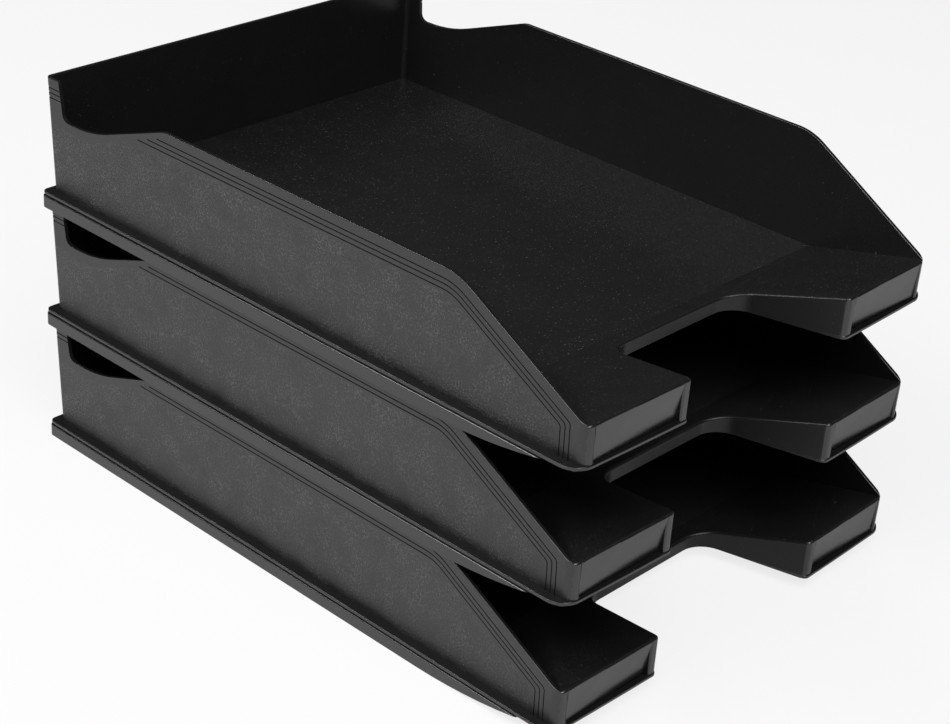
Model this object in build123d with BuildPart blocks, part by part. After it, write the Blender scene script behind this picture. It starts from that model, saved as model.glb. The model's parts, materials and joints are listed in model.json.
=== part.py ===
"""A stack of three identical letter trays, each one moulding of black plastic.

Millimetres. The front of the stack faces -Y, the left side is -X and +Z is up. The origin is
on the surface that the stack stands on, under the middle of its outline.
"""
import os
from math import atan2, radians, sin, sqrt, tan

from build123d import *

os.makedirs("parts", exist_ok=True)

# The stack.
tray_names = ["tray_bottom", "tray_middle", "tray_top"]

# Driving sizes of one tray.
tray_width = 248.0  # across the skirt
tray_depth = 347.0  # back of the skirt to the middle of the bowed front edge
tray_height = 67.0  # foot of the skirt to the top of the walls
wall = 2.0  # walls of the box and of the thumb notch
floor_top = 11.5  # where the paper lies
floor_thickness = 2.2

# How one tray sits on the next: a thin skirt drops over the walls below, and a seat lands on them.
stack_overlap = 3.0
stack_clearance = 0.8
skirt_wall = 2.2
back_skirt_wall = 1.5  # the same skirt is thinner across the back
wall_draft = 2.2  # how much further out the side walls stand at the top than at the ledge
back_draft = 1.0

# The ledge that runs round the foot of the walls, over the skirt.
ledge_top = 8.6
ledge_thickness = 1.6
ledge_setback = 0.3
reveal_height = 0.7  # shadow line between ledge and skirt
reveal_depth = 1.0
skirt_round = 0.5  # on the skirt's upper edge
skirt_sweep_start = 81.5  # behind the front: here the skirt's lower edge starts to curve up
skirt_sweep_end = 18.5  # behind the front: here it has run out

# Plan corners, and the bow of the front edge.
front_bow = 2.4
front_setback = 0.5  # front face of the tongues behind the flange
back_radius = 3.2
inner_back_radius = 2.6
corner_radius = 5.0  # front corners of the box
flange_radius = 10.0  # front corners of the ledge

# Side view of the side walls. The scoop is placed from the back, the knee from the front.
post_top_width = 12.5
post_foot_width = 14.5
post_foot_radius = 4.0
scoop_depth = 19.5  # below the walls' top
scoop_toe = 35.5
scoop_toe_radius = 80.0
scoop_crest = 89.5
scoop_crest_radius = 14.0
knee_setback = 74.5
knee_radius = 30.0
front_slope = radians(29.5)  # from the knee down to the lip

# Front ramp, up which the paper slides, and the thumb notch between its two tongues.
lip_height = 28.0
ramp_length = 65.5
notch_length = 55.0
notch_back_width = 84.0
notch_front_width = 112.0
notch_corner_radius = 14.0
tongue_tip_radius = 3.0
edge_radius = 1.2

# Slanted label panel in the front of each tongue.
panel_top = 26.2
panel_depth = 2.5
panel_rib = 5.0  # bare strip between panel and notch

# Three fine grooves that follow the top edge.
groove_count = 3
groove_first = 5.0
groove_pitch = 2.5
groove_width = 0.55
groove_depth = 0.45
groove_front_gap = 3.4  # last upright groove behind the rounded front corner
groove_scoop_gap = 3.0  # ends of the grooves behind the scoop's edge
groove_bend_radius = 2.5

# Worked out from the sizes above.
reach = tray_width + tray_depth  # longer than any cut has to be
half_width = tray_width / 2
half_depth = tray_depth / 2
post_top_y = half_depth - post_top_width
post_foot_y = half_depth - post_foot_width
scoop_z = tray_height - scoop_depth
scoop_toe_y = half_depth - scoop_toe
scoop_crest_y = half_depth - scoop_crest
knee_y = knee_setback - half_depth
ramp_start_y = ramp_length - half_depth
notch_back_y = notch_length - half_depth
sweep_start_y = skirt_sweep_start - half_depth
sweep_end_y = skirt_sweep_end - half_depth
stack_pitch = tray_height - stack_overlap
ledge_bottom = ledge_top - ledge_thickness
skirt_top = ledge_bottom - reveal_height
wall_top_inset = skirt_wall + stack_clearance
wall_foot_inset = wall_top_inset + wall_draft
back_top_inset = back_skirt_wall + stack_clearance
back_foot_inset = back_top_inset + back_draft
bow_radius = (half_width**2 + front_bow**2) / (2 * front_bow)
ramp_slope = atan2(lip_height - floor_top, ramp_length)
scoop_slope = atan2(scoop_depth, scoop_crest - scoop_toe)
notch_flare = (notch_front_width - notch_back_width) / 2 / notch_length
corner_start_y = -half_depth + front_bow + front_setback + corner_radius


def front_y(x, setback):
    """Where the bowed front stands at x, set back from the flange."""
    return -half_depth + setback + bow_radius - sqrt(bow_radius**2 - x**2)


def plan_outline(height, inset, back_inset, setback, rear_corner, front_corner):
    """Outline of the tray from above: straight back and sides, bowed front, four round corners."""
    side = half_width - inset
    back = half_depth - back_inset
    shoulder = front_y(side, setback)
    with BuildSketch(Plane.XY.offset(height)) as outline:
        with BuildLine():
            Polyline((-side, shoulder), (-side, back), (side, back), (side, shoulder))
            ThreePointArc((side, shoulder), (0, front_y(0, setback)), (-side, shoulder))
        make_face()
        fillet(outline.vertices().sort_by(Axis.Y)[2:], rear_corner)
        fillet(outline.vertices().sort_by(Axis.Y)[:2], front_corner)
    return outline.sketch


def notch_outline(height, grow):
    """Thumb notch from above: a trapezium open to the front, grown by a wall where asked."""
    back = notch_back_y + grow
    front = -half_depth - notch_corner_radius
    side_shift = grow * (sqrt(1 + notch_flare**2) - notch_flare)
    back_half = notch_back_width / 2 + side_shift
    front_half = back_half + (back - front) * notch_flare
    with BuildSketch(Plane.XY.offset(height)) as outline:
        with BuildLine():
            Polyline(
                (-back_half, back),
                (back_half, back),
                (front_half, front),
                (-front_half, front),
                close=True,
            )
        make_face()
        fillet(outline.vertices().sort_by(Axis.Y)[2:], notch_corner_radius + grow)
    return outline.sketch


def above_floor(drop):
    """Side view of all that lies above the floor and the ramp, lowered by drop."""
    level = floor_top - drop
    crease = ramp_start_y - drop * tan(ramp_slope / 2)
    rise = (reach + crease) * tan(ramp_slope)
    with BuildSketch(Plane.YZ.offset(-reach)) as region:
        with BuildLine():
            Polyline(
                (reach, level),
                (crease, level),
                (-reach, level + rise),
                (-reach, 2 * reach),
                (reach, 2 * reach),
                close=True,
            )
        make_face()
    return region.sketch


def above_walls():
    """Side view of all that lies above the side walls' top edge."""
    clear = tray_height + notch_corner_radius
    with BuildSketch(Plane.YZ.offset(-reach)) as region:
        with BuildLine():
            Polyline(
                (post_top_y, clear),
                (post_top_y, tray_height),
                (post_foot_y, scoop_z),
                (scoop_toe_y, scoop_z),
                (scoop_crest_y, tray_height),
                (knee_y, tray_height),
                (-reach, tray_height - (reach + knee_y) * tan(front_slope)),
                (-reach, clear),
                close=True,
            )
        make_face()
        rounded = [
            (post_foot_y, scoop_z, post_foot_radius),
            (scoop_toe_y, scoop_z, scoop_toe_radius),
            (scoop_crest_y, tray_height, scoop_crest_radius),
            (knee_y, tray_height, knee_radius),
        ]
        for y, z, radius in rounded:
            fillet(region.vertices().sort_by_distance((y, z, 0))[0], radius)
    return region.sketch


def box_sections(inward, setback, rear_corner, front_corner):
    """The drafted box, moved inward from the walls' outer face, at the ledge and at the top."""
    foot_insets = (wall_foot_inset + inward, back_foot_inset + inward)
    top_insets = (wall_top_inset + inward, back_top_inset + inward)
    foot = plan_outline(ledge_bottom, *foot_insets, setback, rear_corner, front_corner)
    top = plan_outline(tray_height, *top_insets, setback, rear_corner, front_corner)
    return [foot, top]


def hollow_outline():
    """The hollow inside the foot of the walls, below the surface the tray stands on."""
    insets = (wall_foot_inset + wall, back_foot_inset + wall)
    setback = front_setback + panel_depth + wall
    return plan_outline(-1, *insets, setback, inner_back_radius, corner_radius - wall)


# Room inside the box, above floor and ramp.
with BuildPart() as paper_room:
    loft(box_sections(wall, -2 * corner_radius, inner_back_radius, corner_radius), ruled=True)

# Hollow under the floor and the tongues.
with BuildPart() as under_room:
    extrude(hollow_outline(), amount=lip_height)
    extrude(above_floor(floor_thickness), amount=2 * reach, mode=Mode.SUBTRACT)
    extrude(notch_outline(-2, wall), amount=reach, mode=Mode.SUBTRACT)


def groove_start(level):
    """Where a groove at this height begins, clear of the scoop's edge."""
    edge_y = scoop_crest_y + (tray_height - level) / tan(scoop_slope)
    return edge_y - groove_scoop_gap / sin(scoop_slope)


def groove_ribbons():
    """Side view of all grooves: along the straight top, down the slope, upright to the ledge."""
    with BuildSketch(Plane.YZ.offset(-reach)) as ribbons:
        for number in range(groove_count):
            depth = groove_first + number * groove_pitch
            level = tray_height - depth
            bend_y = knee_y + depth * tan(front_slope / 2)
            upright_y = corner_start_y + groove_front_gap + number * groove_pitch
            bend_z = level - (bend_y - upright_y) * tan(front_slope)
            with BuildLine() as groove:
                FilletPolyline(
                    (groove_start(level), level),
                    (bend_y, level),
                    (upright_y, bend_z),
                    (upright_y, ledge_bottom),
                    radius=[knee_radius - depth, groove_bend_radius],
                )
            trace(groove.line, groove_width)
            # Round the back wall and its two posts.
            with Locations((half_depth, level)):
                Rectangle(2 * (half_depth - post_foot_y) + groove_width, groove_width)
    return ribbons.sketch


# Three shallow grooves in the outer face of the walls: a thin skin, kept only along the ribbons.
with BuildPart() as grooves:
    loft(box_sections(-groove_width, front_setback - groove_width, back_radius, corner_radius), ruled=True)
    core = box_sections(groove_depth, front_setback + groove_depth, back_radius, corner_radius)
    loft(core, ruled=True, mode=Mode.SUBTRACT)
    extrude(groove_ribbons(), amount=2 * reach, mode=Mode.INTERSECT)


def panel_cutter(side):
    """Wedge in front of one tongue: flush with the bowed front at its top, deepest at the ledge."""
    near = notch_front_width / 2 + panel_rib
    far = half_width - wall_foot_inset - corner_radius
    middle = (near + far) / 2
    clear = -half_depth - corner_radius
    deep = front_y(near, front_setback) + panel_depth
    with BuildSketch(Plane.XY.offset(ledge_top)) as foot:
        with BuildLine():
            Polyline(
                (side * near, deep),
                (side * near, clear),
                (side * far, clear),
                (side * far, deep),
                close=True,
            )
        make_face()
    with BuildSketch(Plane.XY.offset(panel_top)) as head:
        with BuildLine():
            near_corner = (side * near, front_y(near, front_setback))
            far_corner = (side * far, front_y(far, front_setback))
            Polyline(near_corner, (side * near, clear), (side * far, clear), far_corner)
            ThreePointArc(far_corner, (side * middle, front_y(middle, front_setback)), near_corner)
        make_face()
    return [foot.sketch, head.sketch]


# The four walls, with their scooped and sloping top edge.
with BuildPart() as walls:
    loft(box_sections(0, front_setback, back_radius, corner_radius), ruled=True)
    add(paper_room.part, mode=Mode.SUBTRACT)
    extrude(above_walls(), amount=2 * reach, mode=Mode.SUBTRACT)

# The ledge round the foot of the walls, open at the notch.
with BuildPart() as ledge:
    with BuildSketch(Plane.XY.offset(ledge_bottom)) as ledge_plan:
        add(plan_outline(0, ledge_setback, ledge_setback, 0, back_radius, flange_radius))
        add(notch_outline(0, 0), mode=Mode.SUBTRACT)
        for side in (-1, 1):
            corner = (side * notch_front_width / 2, front_y(notch_front_width / 2, 0), 0)
            fillet(ledge_plan.vertices().sort_by_distance(corner)[0], tongue_tip_radius)
    extrude(amount=ledge_thickness)

# The skirt that drops over the tray below, and curves up to nothing towards the front.
with BuildPart() as skirt:
    extrude(plan_outline(0, 0, 0, 0, back_radius, flange_radius), amount=skirt_top)
    fillet(skirt.edges().group_by(Axis.Z)[-1], skirt_round)
    neck = plan_outline(skirt_top, reveal_depth, reveal_depth, 0, back_radius, flange_radius)
    extrude(neck, amount=reveal_height)
    with BuildSketch(Plane.YZ.offset(-reach)) as sweep:
        with BuildLine():
            TangentArc((sweep_start_y, 0), (sweep_end_y, ledge_bottom), tangent=(-1, 0))
            Polyline(
                (sweep_end_y, ledge_bottom),
                (-reach, ledge_bottom),
                (-reach, -1),
                (sweep_start_y, -1),
                (sweep_start_y, 0),
            )
        make_face()
    extrude(amount=2 * reach, mode=Mode.SUBTRACT)
    lip_room = plan_outline(-1, skirt_wall, back_skirt_wall, 0, inner_back_radius, flange_radius)
    extrude(lip_room, amount=stack_overlap + 1, mode=Mode.SUBTRACT)
    extrude(hollow_outline(), amount=tray_height, mode=Mode.SUBTRACT)

# One whole tray.
with BuildPart() as tray:
    # Floor and tongues as one block, with the notch cut out and the ramp's upper edges rounded.
    loft(box_sections(0, front_setback, back_radius, corner_radius), ruled=True)
    extrude(notch_outline(0, 0), amount=reach, mode=Mode.SUBTRACT)
    tip_x = notch_front_width / 2 - front_setback * notch_flare
    for side in (-1, 1):
        tip = (side * tip_x, front_y(tip_x, front_setback), tray_height / 2)
        fillet(tray.edges().sort_by_distance(tip)[0], tongue_tip_radius)
    extrude(above_floor(0), amount=2 * reach, mode=Mode.SUBTRACT)
    ramp = tray.faces().filter_by(lambda face: 0.5 < face.normal_at().Z < 0.999)[0]
    fillet(ramp.edges().filter_by(lambda edge: edge.center().Y < ramp_start_y - wall), edge_radius)
    add(walls.part)
    for side in (-1, 1):
        loft(panel_cutter(side), ruled=True, mode=Mode.SUBTRACT)
    add(ledge.part)
    add(skirt.part)
    add(under_room.part, mode=Mode.SUBTRACT)
    add(grooves.part, mode=Mode.SUBTRACT)

for level, tray_name in enumerate(tray_names):
    with BuildPart() as node:
        with Locations((0, 0, level * stack_pitch)):
            add(tray.part)
    node.part.label = tray_name
    export_step(node.part, f"parts/{tray_name}.step")
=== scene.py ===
# %% [markdown]
# # A stack of three letter trays
# Three identical trays stand on one another, each one moulding of black plastic. The construction
# comes in as a fixed frame, in metres, with +Z up and the open front towards -Y. This lesson gives
# the trays what a mould and a few years on a desk give them: softened edges, a fine grain, a smooth
# band under the rim, a little dust, and the light of a plain studio.

# %% Load the frame
import json
from math import cos, radians, sin, tan

import bmesh
import bpy
from mathutils import Matrix, Vector


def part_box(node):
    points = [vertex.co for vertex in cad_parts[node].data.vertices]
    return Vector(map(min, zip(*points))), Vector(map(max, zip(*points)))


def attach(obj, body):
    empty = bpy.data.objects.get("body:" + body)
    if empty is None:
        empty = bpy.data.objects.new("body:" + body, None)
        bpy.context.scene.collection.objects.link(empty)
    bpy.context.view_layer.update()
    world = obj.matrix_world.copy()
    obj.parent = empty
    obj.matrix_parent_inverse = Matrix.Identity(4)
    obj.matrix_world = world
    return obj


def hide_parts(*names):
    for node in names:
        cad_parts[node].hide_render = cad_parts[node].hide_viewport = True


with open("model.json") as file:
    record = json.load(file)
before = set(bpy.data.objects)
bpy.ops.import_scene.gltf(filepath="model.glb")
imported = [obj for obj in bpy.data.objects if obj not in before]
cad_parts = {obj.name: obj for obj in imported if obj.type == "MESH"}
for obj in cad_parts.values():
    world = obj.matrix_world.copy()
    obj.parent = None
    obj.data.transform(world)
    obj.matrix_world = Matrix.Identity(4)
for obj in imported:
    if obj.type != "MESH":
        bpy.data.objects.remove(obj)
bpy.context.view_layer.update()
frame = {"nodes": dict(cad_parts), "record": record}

tray_names = sorted(frame["nodes"], key=lambda name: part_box(name)[0].z)
body_of = {}
for body, nodes in frame["record"]["behaviour"]["bodies"].items():
    for node in nodes:
        body_of[node] = body
print("trays from the table up:", tray_names)

# %% [markdown]
# ## The camera
# The camera stands before the stack's front left corner and looks down on it. It could be placed
# and turned by six plain numbers, but its place is written as an angle round the stack, an angle
# above the table and a distance, because those are what a photographer would change. A long lens
# keeps the upright edges nearly parallel.

# %% Camera
camera_azimuth = radians(-48.4)
camera_elevation = radians(28.3)
camera_roll = radians(4.15)
camera_distance = 1.041
camera_lens_mm = 81.5
camera_sensor_mm = 36.0
look_at = Vector((0.0, 0.0, 0.09))
slide_right = 0.0020  # the camera's own steps to the side and down, which place the stack in the picture
slide_up = -0.0165

backwards = Vector((
    sin(camera_azimuth) * cos(camera_elevation),
    -cos(camera_azimuth) * cos(camera_elevation),
    sin(camera_elevation),
))
level_right = Vector((cos(camera_azimuth), sin(camera_azimuth), 0.0))
level_up = backwards.cross(level_right)
right = level_right * cos(camera_roll) + level_up * sin(camera_roll)
up = level_up * cos(camera_roll) - level_right * sin(camera_roll)

scene = bpy.context.scene
camera = bpy.data.objects.new("camera", bpy.data.cameras.new("camera"))
scene.collection.objects.link(camera)
camera.data.lens = camera_lens_mm
camera.data.sensor_width = camera_sensor_mm
camera.matrix_world = Matrix((right, up, backwards)).transposed().to_4x4()
camera.location = look_at + backwards * camera_distance + right * slide_right + up * slide_up
scene.camera = camera
print("camera at", [round(value, 3) for value in camera.location])

# %% [markdown]
# ## Light
# Black plastic shows mostly what it mirrors. Its upright faces mirror the pale table, so they look
# grey, and its floors mirror the dim room above, so they stay nearly black. A sun would light it
# just as well but leave hard shadows, so two soft lamps are used. A wide one stands high in front
# on the left and lights the table. A long narrow one hangs over the left side, towards the back,
# and draws the bright lines on the rounded edges.

# %% Lamps
stack_middle = (0.0, 0.0, 0.1)


def soft_lamp(name, place, length, width, watts):
    """An oblong area lamp at a place, turned towards the stack, with its length level."""
    data = bpy.data.lights.new(name, "AREA")
    data.shape = "RECTANGLE"
    data.size = length
    data.size_y = width
    data.energy = watts
    lamp = bpy.data.objects.new(name, data)
    scene.collection.objects.link(lamp)
    lamp.location = place
    aim = Vector(stack_middle) - Vector(place)
    lamp.rotation_euler = aim.to_track_quat("-Z", "Y").to_euler()


soft_lamp("key_lamp", place=(-0.75, -1.15, 2.0), length=1.7, width=1.7, watts=43.0)
soft_lamp("edge_lamp", place=(-1.30, 0.65, 1.60), length=2.2, width=0.3, watts=26.0)

# %% [markdown]
# ## The room
# Around the stack is a dim studio, which the trays' upward faces mirror. Behind them it should look
# white, but a white world would wash out the black. So the world is dim for the light that falls on
# the stack and white where the camera looks straight at it. The table below uses the same trick.

# %% World
room_grey = (0.05, 0.05, 0.052, 1.0)
pure_white = (1.0, 1.0, 1.0, 1.0)


def show_to_camera(tree, real, shown, share, output_kind):
    """Sends one shader to the output, and lays a share of another over it for the camera alone."""
    rays = tree.nodes.new("ShaderNodeLightPath")
    part = tree.nodes.new("ShaderNodeMath")
    part.operation = "MULTIPLY"
    part.inputs[1].default_value = share
    mix = tree.nodes.new("ShaderNodeMixShader")
    output = tree.nodes.new(output_kind)
    tree.links.new(rays.outputs["Is Camera Ray"], part.inputs[0])
    tree.links.new(part.outputs["Value"], mix.inputs["Fac"])
    tree.links.new(real, mix.inputs[1])
    tree.links.new(shown, mix.inputs[2])
    tree.links.new(mix.outputs["Shader"], output.inputs["Surface"])


def dim_room():
    """A world that lights the stack as a dim room does and looks white to the camera."""
    world = bpy.data.worlds.new("studio")
    world.use_nodes = True
    tree = world.node_tree
    tree.nodes.clear()
    room = tree.nodes.new("ShaderNodeBackground")
    room.inputs["Color"].default_value = room_grey
    white = tree.nodes.new("ShaderNodeBackground")
    white.inputs["Color"].default_value = pure_white
    real, shown = room.outputs["Background"], white.outputs["Background"]
    show_to_camera(tree, real, shown, 1.0, "ShaderNodeOutputWorld")
    return world


scene.world = dim_room()
scene.view_settings.view_transform = "Standard"
print("world", scene.world.name, "with the view transform", scene.view_settings.view_transform)

# %% [markdown]
# ## The table
# The stack stands on plain white. More light would turn any pale table white, but it would also make
# the trays too bright. So the table is one pale square that is mostly plain white to the camera
# alone, and the part that stays a real surface keeps the shadow that the trays cast on it.

# %% Table
table_half = 4.0
table_grey = (0.88, 0.88, 0.88, 1.0)
table_white_share = 0.8


def table_paint():
    """Pale matt paint, most of which the camera sees as plain white."""
    paint = bpy.data.materials.new("table_white")
    paint.use_nodes = True
    tree = paint.node_tree
    tree.nodes.clear()
    surface = tree.nodes.new("ShaderNodeBsdfDiffuse")
    surface.inputs["Color"].default_value = table_grey
    plain = tree.nodes.new("ShaderNodeEmission")
    real, shown = surface.outputs["BSDF"], plain.outputs["Emission"]
    show_to_camera(tree, real, shown, table_white_share, "ShaderNodeOutputMaterial")
    return paint


table_mesh = bmesh.new()
bmesh.ops.create_grid(table_mesh, x_segments=1, y_segments=1, size=table_half)
table_data = bpy.data.meshes.new("table")
table_mesh.to_mesh(table_data)
table_mesh.free()
table_data.materials.append(table_paint())
table = bpy.data.objects.new("table", table_data)
scene.collection.objects.link(table)
print("table", round(2 * table_half, 1), "m wide")

# %% [markdown]
# ## Grain
# A mould that is etched before use leaves a fine, pebbled skin on the plastic. A picture of it would
# show seams at the corners, and real pebbles would be far too many faces. So two noises on the
# piece's own coordinates make it, one for the pebbles and a finer one on top of them. They are in a
# node group because the walls and the floors use them at different strengths. The group gives out a
# height, which each material turns into bumps by itself, and a mask of the pebbles' tops, which are
# painted paler in patches: partly wear, and partly a painted highlight, the glint that the tops catch.

# %% Grain node group
pebbles_per_metre = 1150.0
fine_per_metre = 2900.0
fine_share = 0.45
noise_middle = 0.5  # the mean of a noise
grain_middle = noise_middle * (1.0 + fine_share)
# how quickly the pebble tops turn pale: partly wear, partly a painted highlight on them
tops_wear_and_highlight_gain = 5.0
patches_per_metre = 75.0
patch_start = 0.30
patch_gain = 3.0


def new_group(name, inputs, outputs):
    """An empty node group with number sockets. Returns it with its input and output nodes."""
    group = bpy.data.node_groups.new(name, "ShaderNodeTree")
    for label, value in inputs.items():
        socket = group.interface.new_socket(label, in_out="INPUT", socket_type="NodeSocketFloat")
        socket.default_value = value
    for label in outputs:
        group.interface.new_socket(label, in_out="OUTPUT", socket_type="NodeSocketFloat")
    return group, group.nodes.new("NodeGroupInput"), group.nodes.new("NodeGroupOutput")


def math_node(tree, operation, *values, clamp=False):
    """A maths node whose inputs are sockets or plain numbers. Returns its output socket."""
    node = tree.nodes.new("ShaderNodeMath")
    node.operation = operation
    node.use_clamp = clamp
    for socket, value in zip(node.inputs, values):
        if isinstance(value, float):
            socket.default_value = value
        else:
            tree.links.new(value, socket)
    return node.outputs["Value"]


def noise_node(tree, per_metre, detail):
    """Noise on the piece's own coordinates. Returns its value, from 0 to 1."""
    place = tree.nodes.new("ShaderNodeTexCoord")
    node = tree.nodes.new("ShaderNodeTexNoise")
    node.inputs["Scale"].default_value = per_metre
    node.inputs["Detail"].default_value = detail
    tree.links.new(place.outputs["Object"], node.inputs["Vector"])
    return node.outputs["Fac"]


grain_group, grain_in, grain_out = new_group("mould_grain", {"Amount": 1.0}, ["Height", "Tops"])
pebbles = noise_node(grain_group, pebbles_per_metre, detail=2.0)
fine = noise_node(grain_group, fine_per_metre, detail=1.0)
grain = math_node(grain_group, "MULTIPLY_ADD", fine, fine_share, pebbles)
over_middle = math_node(grain_group, "SUBTRACT", grain, grain_middle)
grain_height = math_node(grain_group, "MULTIPLY", over_middle, grain_in.outputs["Amount"])
# the pebble tops, painted paler: partly wear, partly a painted highlight
tops = math_node(grain_group, "MULTIPLY", over_middle, tops_wear_and_highlight_gain, clamp=True)
patch_noise = noise_node(grain_group, patches_per_metre, detail=3.0)
over_start = math_node(grain_group, "SUBTRACT", patch_noise, patch_start)
patches = math_node(grain_group, "MULTIPLY", over_start, patch_gain, clamp=True)
patchy_tops = math_node(grain_group, "MULTIPLY", tops, patches)
tops_wear_and_highlight = math_node(grain_group, "MULTIPLY", patchy_tops, grain_in.outputs["Amount"])
grain_group.links.new(grain_height, grain_out.inputs["Height"])
grain_group.links.new(tops_wear_and_highlight, grain_out.inputs["Tops"])
print("node group", grain_group.name, "with its middle height at", round(grain_middle, 3))

# %% [markdown]
# ## Dust and handling
# Black plastic shows every speck. Specks could be scattered as tiny pieces, but a noise that is cut
# off near its peaks leaves sparse pale points at no cost. A broad noise makes the gloss uneven where
# hands and paper have rubbed. Paper slides in from the front, so the rubbing is drawn out that way.

# %% Dust and rub node groups
specks_per_metre = 1300.0
speck_sharpness = 14.0
rubs_per_metre = 45.0
rub_detail = 4.0
rub_draw = (1.0, 0.22, 1.0)  # less than 1 draws the rubs out, along Y, the way that paper slides

dust_group, dust_in, dust_out = new_group("dust_specks", {"Rarity": 0.8}, ["Mask"])
specks = noise_node(dust_group, specks_per_metre, detail=0.0)
over_rarity = math_node(dust_group, "SUBTRACT", specks, dust_in.outputs["Rarity"])
speck_mask = math_node(dust_group, "MULTIPLY", over_rarity, speck_sharpness, clamp=True)
dust_group.links.new(speck_mask, dust_out.inputs["Mask"])

rub_group, rub_in, rub_out = new_group("rubbed_gloss", {"Middle": 0.45, "Spread": 0.1}, ["Roughness"])
rub_place = rub_group.nodes.new("ShaderNodeTexCoord")
drawn_out = rub_group.nodes.new("ShaderNodeMapping")
drawn_out.inputs["Scale"].default_value = rub_draw
rubs = rub_group.nodes.new("ShaderNodeTexNoise")
rubs.inputs["Scale"].default_value = rubs_per_metre
rubs.inputs["Detail"].default_value = rub_detail
rub_group.links.new(rub_place.outputs["Object"], drawn_out.inputs["Vector"])
rub_group.links.new(drawn_out.outputs["Vector"], rubs.inputs["Vector"])
rub_over_middle = math_node(rub_group, "SUBTRACT", rubs.outputs["Fac"], noise_middle)
rub_spread = math_node(rub_group, "MULTIPLY", rub_over_middle, rub_in.outputs["Spread"])
rub_roughness = math_node(rub_group, "ADD", rub_spread, rub_in.outputs["Middle"], clamp=True)
rub_group.links.new(rub_roughness, rub_out.inputs["Roughness"])
print("node groups", dust_group.name, rub_group.name)

# %% [markdown]
# ## Where the mould was etched
# The outside of the walls is grained only below the three fine grooves; along the rim and down the
# front it is smooth. A mask painted on the points of the mesh would be too coarse, because a wall
# is a few large faces. The edge of the grain follows the rim, so it is worked out as a distance
# from the straight lines of the side view. The trays repeat every stack pitch, so the height is
# first taken back to one tray. The foot of each tray laps over the one below, and counts as its rim.

# %% Grain limit node group
base_heights = [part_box(name)[0].z for name in tray_names]
stack_pitch = base_heights[1] - base_heights[0]
tray_low, tray_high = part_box(tray_names[0])
tray_height = tray_high.z

foot_band = 0.0035  # height of the foot that laps over the tray below
knee_setback = 0.0745  # from the front back to where the walls start to fall
front_slope = radians(29.5)
scoop_crest = 0.0895  # from the back to where the rim starts to fall into the scoop
scoop_slope = radians(19.9)
scoop_depth = 0.0195
grain_margin = 0.0108  # from the rim down to below the grooves
scoop_margin = 0.0035
front_margin = 0.0075
grain_fade = 0.0012  # how far the grain takes to come in
knee_y = tray_low.y + knee_setback
crest_y = tray_high.y - scoop_crest

limit_group, _, limit_out = new_group("below_rim", {}, ["Mask"])
limit_place = limit_group.nodes.new("ShaderNodeTexCoord")
axes = limit_group.nodes.new("ShaderNodeSeparateXYZ")
limit_group.links.new(limit_place.outputs["Object"], axes.inputs["Vector"])
over_foot = math_node(limit_group, "SUBTRACT", axes.outputs["Z"], foot_band)
in_pitch = math_node(limit_group, "FLOORED_MODULO", over_foot, stack_pitch)
tray_z = math_node(limit_group, "ADD", in_pitch, foot_band)
below_top = math_node(limit_group, "SUBTRACT", tray_height, tray_z)


def below_slope(start_y, slope, way):
    """How far a point lies under a line that falls from the rim at start_y, to the front or the back."""
    along = math_node(limit_group, "SUBTRACT", axes.outputs["Y"], start_y)
    fall = math_node(limit_group, "MULTIPLY", along, way * sin(slope))
    straight = math_node(limit_group, "MULTIPLY", below_top, cos(slope))
    return math_node(limit_group, "ADD", straight, fall)


below_front = below_slope(knee_y, front_slope, way=1.0)
below_fall = below_slope(crest_y, scoop_slope, way=-1.0)
below_dip = math_node(limit_group, "SUBTRACT", below_top, scoop_depth)
below_scoop = math_node(limit_group, "MAXIMUM", below_fall, below_dip)
behind_front = math_node(limit_group, "SUBTRACT", axes.outputs["Y"], tray_low.y + front_margin)
below_line = math_node(limit_group, "MINIMUM", below_top, below_front)
nearest = math_node(limit_group, "MINIMUM", below_line, behind_front)
past_grooves = math_node(limit_group, "SUBTRACT", nearest, grain_margin)
past_scoop = math_node(limit_group, "SUBTRACT", below_scoop, scoop_margin)
past_both = math_node(limit_group, "MINIMUM", past_grooves, past_scoop)
limit_mask = math_node(limit_group, "DIVIDE", past_both, grain_fade, clamp=True)
limit_group.links.new(limit_mask, limit_out.inputs["Mask"])
print("pitch", round(stack_pitch, 4), "m, knee at", round(knee_y, 4), "m")

# %% [markdown]
# ## The plastic
# All of a tray is one plastic, and what differs is the mould. The outside is grained up to the
# limit above. The floor is grained lightly all over and holds the most dust. The inner walls are
# smooth and dull, and the skirt, the lips' front and the rounded edges are smooth with a satin
# gloss. One texture could hold all four, but a function that makes four materials is easier to read
# and to change.

# %% Plastic material
plastic_ior = 1.59
black = (0.0080, 0.0080, 0.0082, 1.0)
# colour of the pebble tops: partly wear, partly a painted highlight
tops_wear_and_highlight_grey = (0.085, 0.085, 0.085, 1.0)
dust_grey = (0.09, 0.09, 0.09, 1.0)
grain_depth = 0.00028
mix_first, mix_second, mix_result = 6, 7, 2  # where a Mix node keeps its sockets for colours


def group_node(tree, group, **values):
    """A node that holds a group, with the values that its named inputs are given."""
    node = tree.nodes.new("ShaderNodeGroup")
    node.node_tree = group
    for label, value in values.items():
        node.inputs[label].default_value = value
    return node


def colour_mix(tree, share):
    """A node that mixes two colours. Returns their sockets and that of the result."""
    node = tree.nodes.new("ShaderNodeMix")
    node.data_type = "RGBA"
    tree.links.new(share, node.inputs["Factor"])
    return node.inputs[mix_first], node.inputs[mix_second], node.outputs[mix_result]


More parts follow.
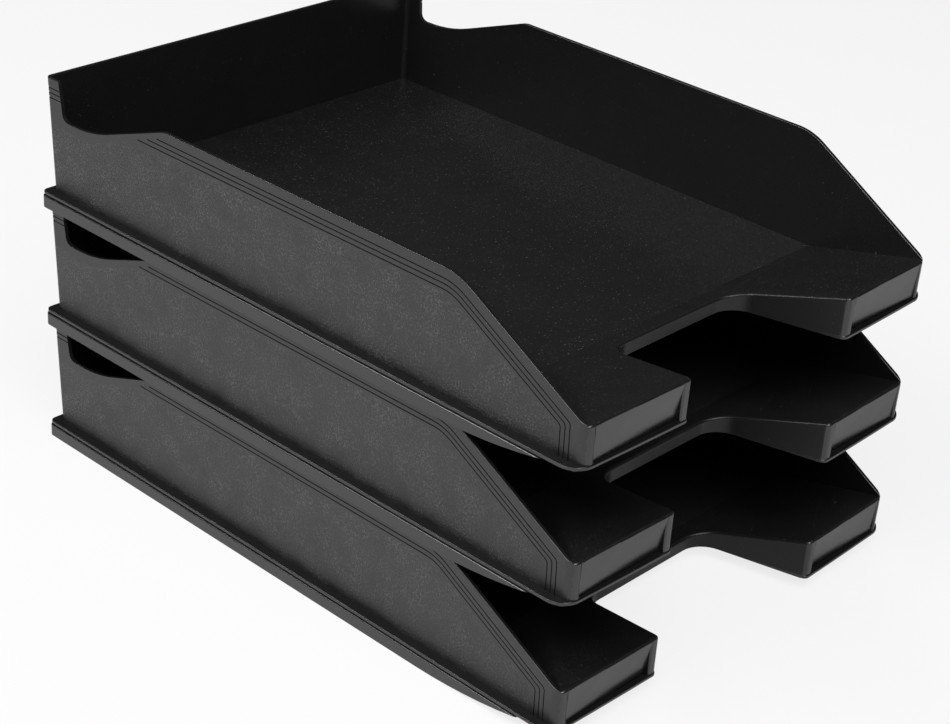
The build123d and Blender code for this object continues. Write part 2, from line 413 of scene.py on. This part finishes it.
def plastic(name, grain, roughness, spread, rarity, shine, limited=False):
    """Black moulded plastic: grain as bump, uneven gloss, dust, and wear with a painted highlight on the
    pebble tops.
    """
    material = bpy.data.materials.new(name)
    material.use_nodes = True
    tree = material.node_tree
    shader = tree.nodes["Principled BSDF"]
    shader.inputs["IOR"].default_value = plastic_ior
    shader.inputs["Specular IOR Level"].default_value = shine

    skin = group_node(tree, grain_group, Amount=grain)
    if limited:
        limit = group_node(tree, limit_group)
        amount = math_node(tree, "MULTIPLY", limit.outputs["Mask"], grain)
        tree.links.new(amount, skin.inputs["Amount"])
    bump = tree.nodes.new("ShaderNodeBump")
    bump.inputs["Strength"].default_value = 1.0
    bump.inputs["Distance"].default_value = grain_depth
    tree.links.new(skin.outputs["Height"], bump.inputs["Height"])
    tree.links.new(bump.outputs["Normal"], shader.inputs["Normal"])

    rub = group_node(tree, rub_group, Middle=roughness, Spread=spread)
    tree.links.new(rub.outputs["Roughness"], shader.inputs["Roughness"])

    # pale pebble tops mixed into the black: partly wear, partly a painted highlight
    plain_black, tops_wear_and_highlight_colour, skin_colour = colour_mix(tree, skin.outputs["Tops"])
    plain_black.default_value = black
    tops_wear_and_highlight_colour.default_value = tops_wear_and_highlight_grey
    dust = group_node(tree, dust_group, Rarity=rarity)
    clean, dusty, colour = colour_mix(tree, dust.outputs["Mask"])
    tree.links.new(skin_colour, clean)
    dusty.default_value = dust_grey
    tree.links.new(colour, shader.inputs["Base Color"])
    return material


finishes = {
    "outside": plastic(
        "tray_outside", grain=1.0, roughness=0.42, spread=0.10, rarity=0.80, shine=0.55, limited=True
    ),
    "floor": plastic("tray_floor", grain=0.12, roughness=0.35, spread=0.14, rarity=0.77, shine=0.57),
    "inside": plastic("tray_inside", grain=0.05, roughness=0.34, spread=0.12, rarity=0.82, shine=0.27),
    "trim": plastic("tray_trim", grain=0.02, roughness=0.26, spread=0.05, rarity=0.84, shine=0.60),
}
finish_order = list(finishes)
print("materials", [material.name for material in finishes.values()])

# %% [markdown]
# ## Softened edges
# No moulding has a razor edge, and its small rounds are what catches the bright lines along rim,
# ledge and skirt. A Bevel modifier that goes by angle would round the three grooves as well, which
# are about as fine as the round, and spoil them. So the edges are picked by a rule first, and the
# bevel operator rounds only those. The lips and the thumb notch, which hands and paper slide over,
# get a wider round.

# %% Find the edges to round
sharp_angle = radians(45.0)
ledge_height = 0.0092
wall_reach = 0.0065  # from the tray's box in to behind the outer faces of its walls
rim_depth = 0.0015  # how far below the rim an edge may lie and still be part of it
foot_side_reach = 0.0021  # how far in the outer edges of skirt and ledge lie at the sides
foot_back_reach = 0.0013
foot_front_reach = 0.004
post_setback = 0.0135  # from the back to the rear post's edge, where the grooves turn up
post_reach = 0.0045
post_middle = tray_high.y - post_setback
side_margin = 0.0085  # how far the wider round stays clear of the tray's sides
lip_reach = 0.060  # from the front to behind the thumb notch


def rim_height(y):
    """Height of the side walls' top edge over the tray's foot, at y."""
    front = tray_height - max(0.0, knee_y - y) * tan(front_slope)
    scoop = tray_height - min(scoop_depth, max(0.0, (y - crest_y) * tan(scoop_slope)))
    return min(front, scoop)


def edge_middle(edge):
    """The point half-way along an edge."""
    return (edge.verts[0].co + edge.verts[1].co) / 2


def in_outer_skin(place):
    """True for a point in the outer face of a side or back wall, where the grooves are."""
    return abs(place.x) > tray_high.x - wall_reach or place.y > tray_high.y - wall_reach


def wants_round(edge, base):
    """True for a sharp outward edge that is not one of the grooves'."""
    if edge.calc_face_angle_signed(0.0) < sharp_angle:
        return False
    middle = edge_middle(edge)
    height = middle.z - base
    if height < ledge_height:
        at_side = abs(middle.x) > tray_high.x - foot_side_reach
        at_back = middle.y > tray_high.y - foot_back_reach
        at_front = middle.y < tray_low.y + foot_front_reach
        return at_side or at_back or at_front
    if in_outer_skin(middle) and height < rim_height(middle.y) - rim_depth:
        return False
    return height >= tray_height - rim_depth or abs(middle.y - post_middle) >= post_reach


def wants_wide_round(edge, base):
    """True for the top edges of the lips and the thumb notch."""
    middle = edge_middle(edge)
    if middle.z - base < ledge_height or abs(middle.x) > tray_high.x - side_margin:
        return False
    return wants_round(edge, base) and middle.y < tray_low.y + lip_reach


knee_rim, front_rim = rim_height(knee_y), rim_height(tray_low.y)
print("rim over the knee", round(knee_rim, 4), "m, at the front", round(front_rim, 4), "m")

# %% Round the edges
edge_round = 0.0004
wide_round = 0.0010


def round_edges(mesh, base, is_round):
    """Rounds the wide edges and then the small ones, and marks the new faces. Returns how many edges."""
    count = 0
    for wants, radius in ((wants_wide_round, wide_round), (wants_round, edge_round)):
        edges = [edge for edge in mesh.edges if wants(edge, base)]
        count += len(edges)
        result = bmesh.ops.bevel(
            mesh,
            geom=edges,
            offset=radius,
            offset_type="OFFSET",
            segments=3,
            profile=0.5,
            affect="EDGES",
            clamp_overlap=False,
            material=-1,
        )
        for face in result["faces"]:
            face[is_round] = 1
        mesh.normal_update()
    return count


print("rounds of", edge_round, "m and", wide_round, "m")

# %% [markdown]
# ## Which face is which
# The finishes could be given to faces by hand, but a rule does it for every tray at once: it asks
# which way a face looks and where it lies. Up and flat is the floor, low is the skirt or the ledge,
# whose top is as dull as the inside, outward is the grained outside, the front of the lips is trim,
# and the rest is inside. The small rounds are all trim.

# %% Finish by face
floor_limit = 0.030  # floors and ramps lie lower than this over the tray's foot
level_share = 0.9  # how straight up a level face looks
outward_share = 0.5  # how straight out an outward face looks
lip_front_reach = 0.02


def finish_of(face, base):
    """The name of the finish that a face of one tray has."""
    middle = face.calc_center_median()
    is_level = face.normal.z > level_share
    if max(vert.co.z for vert in face.verts) - base < ledge_height:
        return "inside" if is_level else "trim"
    if is_level and middle.z - base < floor_limit and not in_outer_skin(middle):
        return "floor"
    looks_sideways = face.normal.x * middle.x > outward_share * abs(middle.x)
    looks_back = face.normal.y > outward_share
    if (looks_sideways or looks_back) and in_outer_skin(middle):
        return "outside"
    if face.normal.y < -outward_share and middle.y < tray_low.y + lip_front_reach:
        return "trim"
    return "inside"


print("finishes", finish_order, "with floors under", floor_limit, "m")

# %% [markdown]
# ## Shading
# A rounded edge should shade softly and a flat wall not at all. Blender's own smooth shading would
# bend the light on the large flat faces, because they meet many thin ones. So each corner of each
# face gets its own shading normal: the moulded faces keep theirs, and the small rounds between them
# shade from one to the other.

# %% Corner normals
curve_angle = radians(30.0)  # moulded faces that meet at less than this are one curve
round_angle = radians(50.0)  # a round is shaded from faces that are turned less than this from it
large_face = 0.00004  # square metres, over which a moulded face is flat and keeps its own normal


def corner_normal(face, vert, is_round):
    """The shading normal of one corner: that of the moulded faces there, or a blend within a round."""
    if not face[is_round] and face.calc_area() > large_face:
        return face.normal
    limit = round_angle if face[is_round] else curve_angle
    near = [other for other in vert.link_faces if other.normal.dot(face.normal) > cos(limit)]
    moulded = [other for other in near if not other[is_round]]
    total = Vector((0.0, 0.0, 0.0))
    for other in moulded or near:
        total += other.normal * other.calc_area()
    return total.normalized() if total.length > 0.0 else face.normal


print("moulded faces over", large_face, "square metres stay flat")

# %% [markdown]
# ## Build the three trays
# Each tray's mesh comes in as loose triangles and is left alone, so a copy of it is merged, rounded
# and given its finishes. One copy could be placed three times, but each tray is a piece of its own
# in the frame, which its dressed copy replaces, and it rides along when that tray is lifted off.

# %% Tray bodies
merge_distance = 0.000002


def moulded_tray(node, base):
    """A merged copy of one tray, its outer edges rounded and its faces given their finishes."""
    mesh = bmesh.new()
    mesh.from_mesh(frame["nodes"][node].data)
    bmesh.ops.remove_doubles(mesh, verts=mesh.verts, dist=merge_distance)
    is_round = mesh.faces.layers.int.new("is_round")
    rounded = round_edges(mesh, base, is_round)
    normals = []
    for face in mesh.faces:
        face.smooth = True
        finish = "trim" if face[is_round] else finish_of(face, base)
        face.material_index = finish_order.index(finish)
        normals += [tuple(corner_normal(face, loop.vert, is_round)) for loop in face.loops]
    mesh.faces.layers.int.remove(is_round)
    data = bpy.data.meshes.new(node + "_moulding")
    mesh.to_mesh(data)
    mesh.free()
    data.normals_split_custom_set(normals)
    for finish in finish_order:
        data.materials.append(finishes[finish])
    piece = bpy.data.objects.new(node + "_moulding", data)
    scene.collection.objects.link(piece)
    print(piece.name, rounded, "edges rounded,", len(data.polygons), "faces")
    return piece


for node, base in zip(tray_names, base_heights):
    tray = moulded_tray(node, base)
    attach(tray, body_of[node])
    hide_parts(node)
